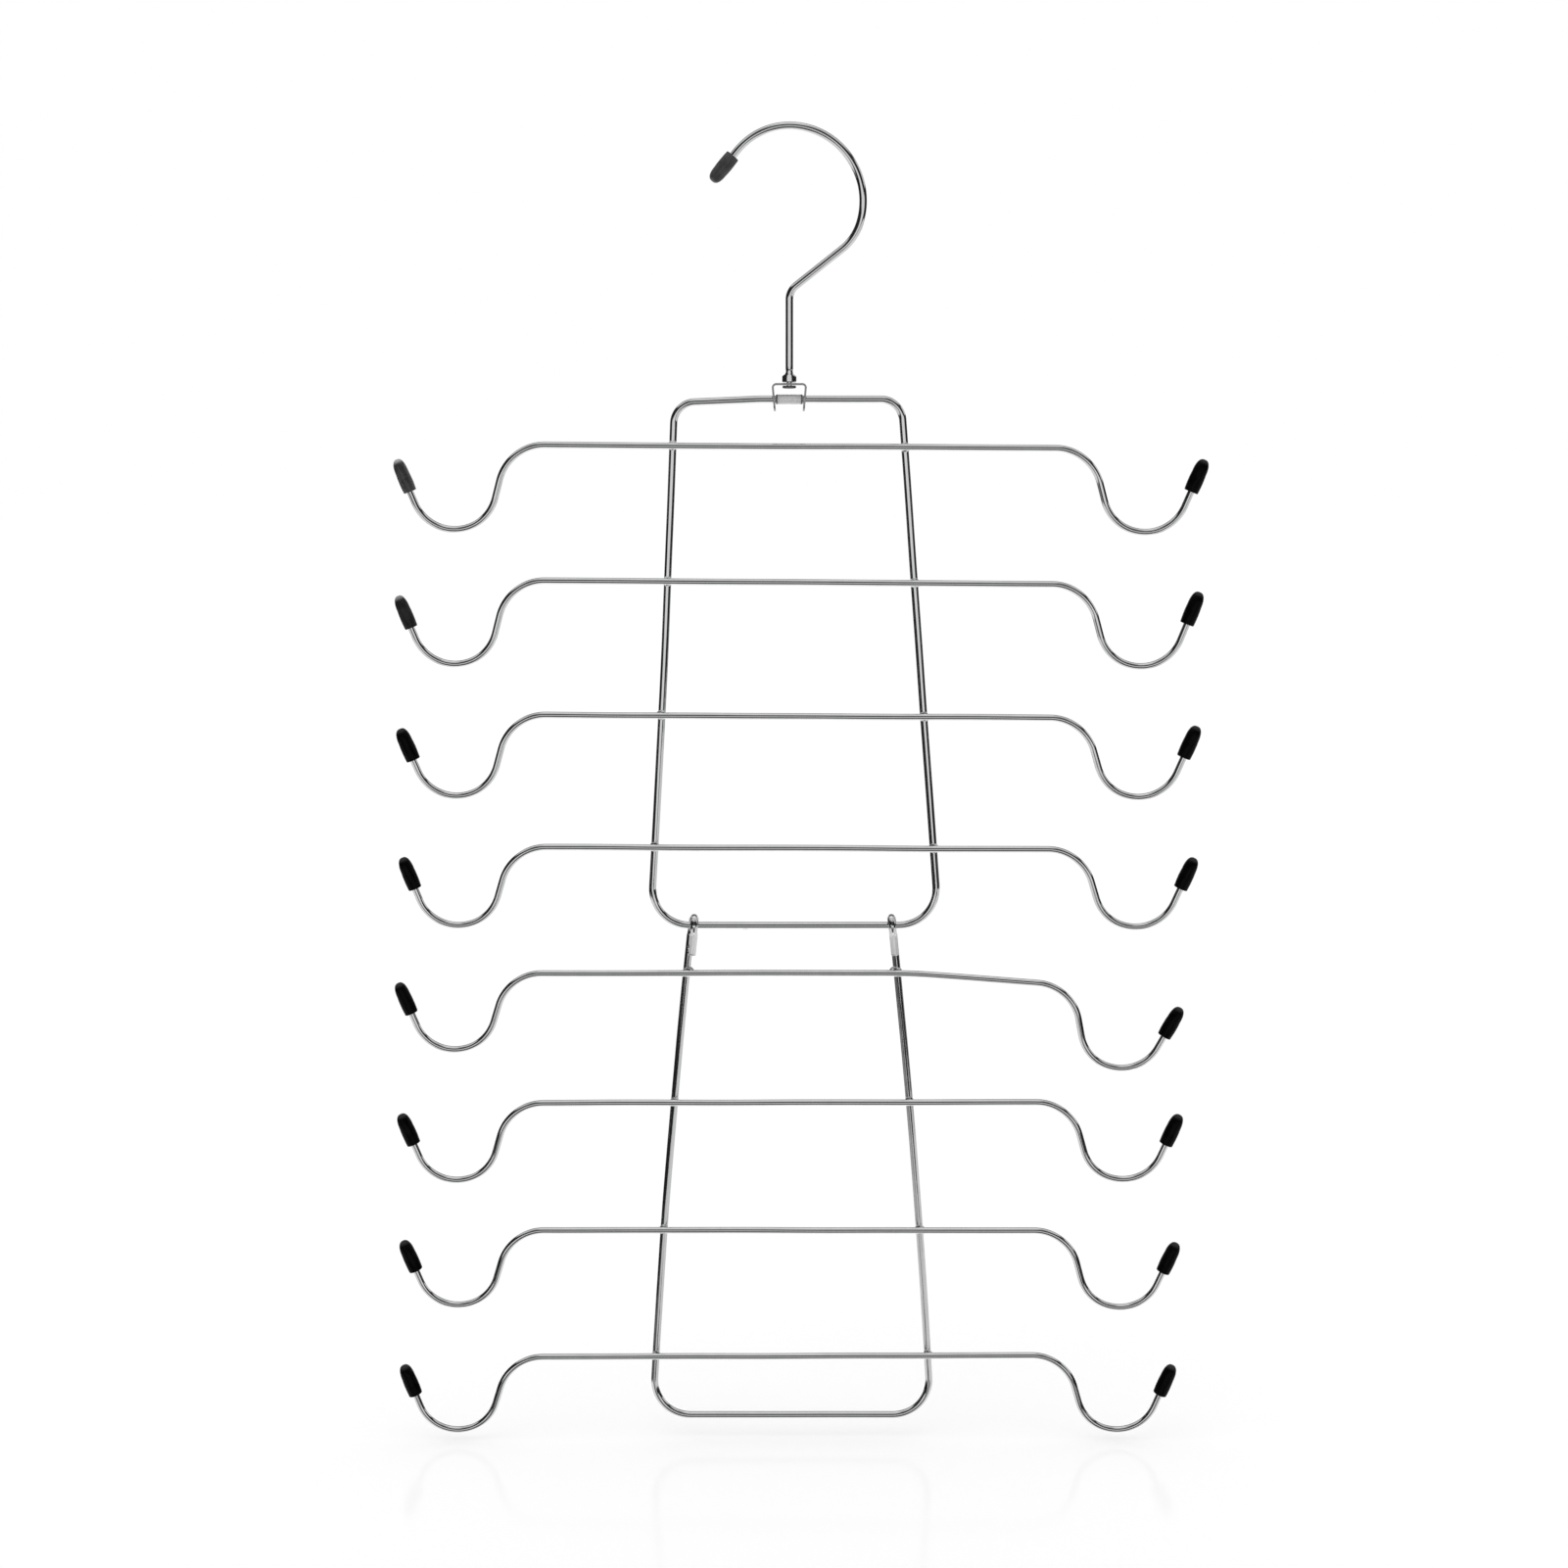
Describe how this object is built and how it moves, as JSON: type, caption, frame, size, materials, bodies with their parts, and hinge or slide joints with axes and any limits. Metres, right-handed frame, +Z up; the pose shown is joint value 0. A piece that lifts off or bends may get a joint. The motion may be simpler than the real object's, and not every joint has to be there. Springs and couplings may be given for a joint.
{
  "type": "folding garment hanger",
  "caption": "Folding multi-tier wire hanger for underwear and straps: two hinged frames with U-ended cross bars, a swivelling closet hook and vinyl-capped tips.",
  "frame": {"origin": "the rod seat, the inside of the top of the closet hook", "axes": "+Z up, +X to the right as seen from the front, -Y to the front, where the cross bars are welded"},
  "size_m": [0.3447, 0.0111, 0.5642],
  "materials": {
    "chrome": "bright chrome plate on drawn steel wire",
    "sleeve_steel": "plain matte steel",
    "black_vinyl": "glossy dipped vinyl"
  },
  "bodies": {
    "hook": {"hook_wire": "chrome", "hook_tip_cap": "black_vinyl"},
    "bracket": {"swivel_bracket": "chrome"},
    "upper_panel": {"bracket_sleeve": "sleeve_steel", "upper_frame": "chrome", "tier_bar_1": "chrome", "tier_bar_2": "chrome", "tier_bar_3": "chrome", "tier_bar_4": "chrome", "tip_cap_1_left": "black_vinyl", "tip_cap_1_right": "black_vinyl", "tip_cap_2_left": "black_vinyl", "tip_cap_2_right": "black_vinyl", "tip_cap_3_left": "black_vinyl", "tip_cap_3_right": "black_vinyl", "tip_cap_4_left": "black_vinyl", "tip_cap_4_right": "black_vinyl"},
    "lower_panel": {"lower_frame": "chrome", "tier_bar_5": "chrome", "tier_bar_6": "chrome", "tier_bar_7": "chrome", "tier_bar_8": "chrome", "tip_cap_5_left": "black_vinyl", "tip_cap_5_right": "black_vinyl", "tip_cap_6_left": "black_vinyl", "tip_cap_6_right": "black_vinyl", "tip_cap_7_left": "black_vinyl", "tip_cap_7_right": "black_vinyl", "tip_cap_8_left": "black_vinyl", "tip_cap_8_right": "black_vinyl"}
  },
  "joints": [
    {"name": "hook_swivel", "type": "hinge", "parent": "hook", "child": "bracket", "pos_m": [0, 0, -0.103], "axis": [0, 0, 1], "continuous": true},
    {"name": "bracket_tilt", "type": "hinge", "parent": "bracket", "child": "upper_panel", "pos_m": [0, 0, -0.1095], "axis": [1, 0, 0], "range_deg": [-140, 140]},
    {"name": "panel_fold", "type": "hinge", "parent": "upper_panel", "child": "lower_panel", "pos_m": [0, 0, -0.3329], "axis": [1, 0, 0], "range_deg": [-160, 175]}
  ]
}
